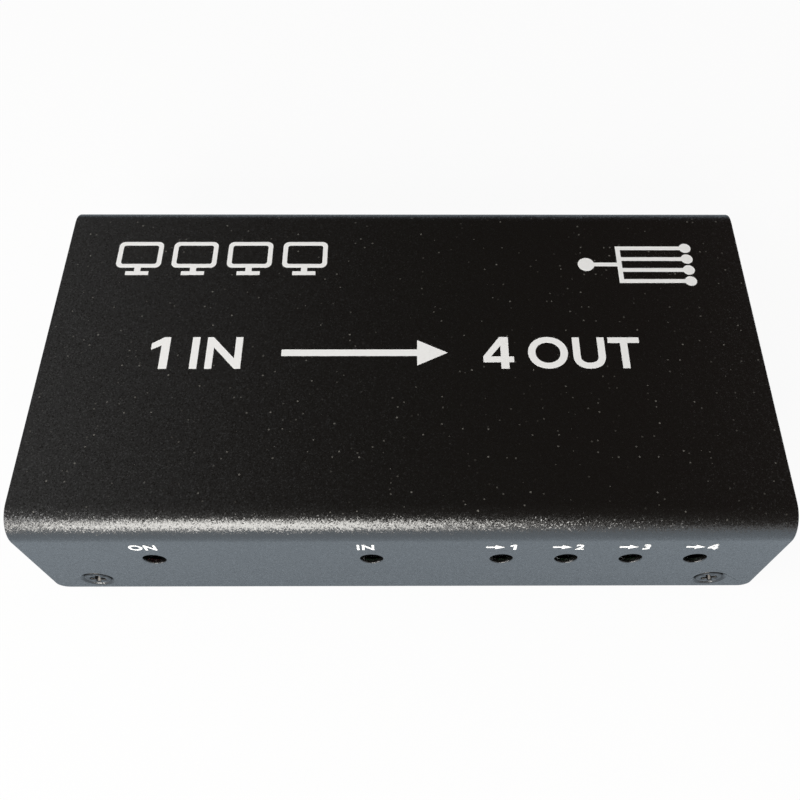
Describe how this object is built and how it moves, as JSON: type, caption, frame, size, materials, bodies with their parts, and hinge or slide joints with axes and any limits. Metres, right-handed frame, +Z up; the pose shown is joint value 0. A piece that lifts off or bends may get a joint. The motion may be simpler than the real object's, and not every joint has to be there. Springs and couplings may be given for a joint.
{
  "type": "video signal splitter",
  "caption": "Low black sheet-metal box that copies one digital video input to several outputs, with status lamps along its front, sockets on its rear and rubber feet.",
  "frame": {"origin": "centre of the footprint on the surface that it stands on", "axes": "+X to the right along the lamp side, +Y towards the sockets, +Z up"},
  "size_m": [0.13, 0.071, 0.029],
  "materials": {
    "case_paint": "black textured powder coat",
    "dark_screw": "black nickel",
    "foot_rubber": "matte",
    "board_laminate": "solder mask over glass laminate",
    "standoff_brass": "machined",
    "bright_screw": "zinc plated",
    "socket_steel": "nickel plated",
    "socket_plastic": "moulded",
    "contact_gold": "gold flash",
    "jack_plastic": "moulded",
    "terminal_metal": "tinned",
    "pin_metal": "nickel plated",
    "lamp_red": "tinted clear resin",
    "lamp_green": "tinted clear resin",
    "tinned_wire": "tinned",
    "chip_plastic": "moulded epoxy",
    "pad_silicone": "soft silicone",
    "sink_aluminium": "black anodised",
    "can_aluminium": "bare",
    "crystal_can": "plated",
    "inductor_core": "ferrite",
    "capacitor_ceramic": "fired"
  },
  "bodies": {
    "splitter": {"top_cover": "case_paint", "base_tray": "case_paint", "cover_screws_front": "dark_screw", "cover_screws_rear": "dark_screw", "rubber_feet": "foot_rubber", "circuit_board": "board_laminate", "board_standoffs": "standoff_brass", "board_screws": "bright_screw", "jack_housing": "jack_plastic", "jack_centre_pin": "pin_metal", "jack_sleeve_terminal": "terminal_metal", "jack_switch_contact": "terminal_metal", "power_lamp": "lamp_red", "input_lamp": "lamp_green", "output_lamp_1": "lamp_green", "output_lamp_2": "lamp_green", "output_lamp_3": "lamp_green", "output_lamp_4": "lamp_green", "lamp_leads": "tinned_wire", "splitter_chip": "chip_plastic", "splitter_chip_leads": "tinned_wire", "thermal_pad": "pad_silicone", "heat_sink": "sink_aluminium", "control_chip": "chip_plastic", "clock_crystal": "crystal_can", "voltage_regulators": "chip_plastic", "filter_capacitors": "can_aluminium", "power_inductor": "inductor_core", "surge_arrays": "chip_plastic", "ceramic_capacitors": "capacitor_ceramic", "socket_in_shell": "socket_steel", "socket_in_insulator": "socket_plastic", "socket_in_contacts": "contact_gold", "socket_out_1_shell": "socket_steel", "socket_out_1_insulator": "socket_plastic", "socket_out_1_contacts": "contact_gold", "socket_out_2_shell": "socket_steel", "socket_out_2_insulator": "socket_plastic", "socket_out_2_contacts": "contact_gold", "socket_out_3_shell": "socket_steel", "socket_out_3_insulator": "socket_plastic", "socket_out_3_contacts": "contact_gold", "socket_out_4_shell": "socket_steel", "socket_out_4_insulator": "socket_plastic", "socket_out_4_contacts": "contact_gold"},
    "sleeve_spring": {"jack_sleeve_spring": "terminal_metal"}
  },
  "joints": [
    {"name": "sleeve_spring_flex", "type": "hinge", "parent": "splitter", "child": "sleeve_spring", "pos_m": [-0.05, 0.0238, 0.0149], "axis": [-1, 0, 0], "range_deg": [0, 6.5], "stiffness_Nm_per_rad": 0.15}
  ]
}
